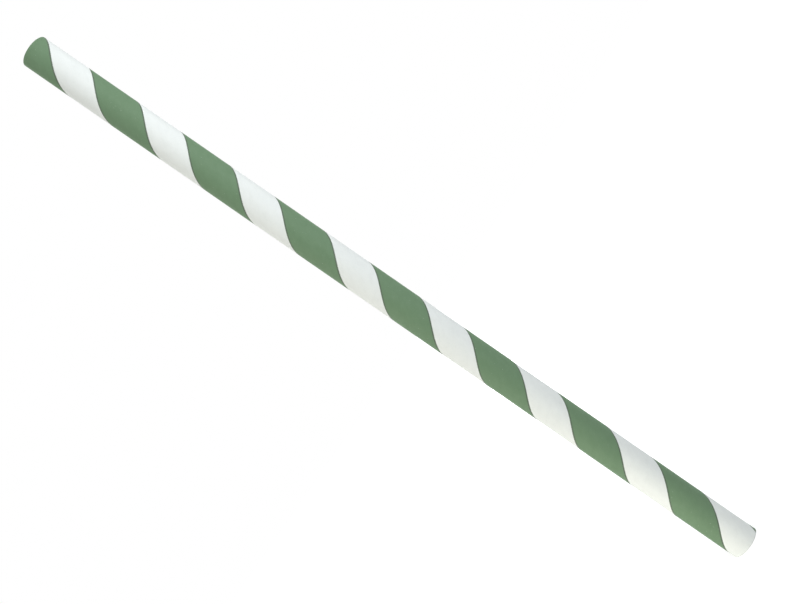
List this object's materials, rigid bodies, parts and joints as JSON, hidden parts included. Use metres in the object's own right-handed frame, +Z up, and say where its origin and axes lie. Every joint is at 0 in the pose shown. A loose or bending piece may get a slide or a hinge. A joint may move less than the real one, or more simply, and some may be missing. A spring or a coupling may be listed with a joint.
{
  "type": "paper drinking straw",
  "caption": "Straight round paper tube for drinking through, wound from glued strips and open at both ends, with green and white spiral stripes.",
  "frame": {"origin": "on the table, in the middle of the cut end that the straw stands on", "axes": "+Z up along the straw's axis, -Y the front, which the picture shows"},
  "size_m": [0.008, 0.008, 0.2],
  "materials": {
    "striped_paper": "uncoated matt white paper with a green band printed along each strip"
  },
  "bodies": {
    "root": {"straw_tube": "striped_paper"}
  },
  "joints": []
}
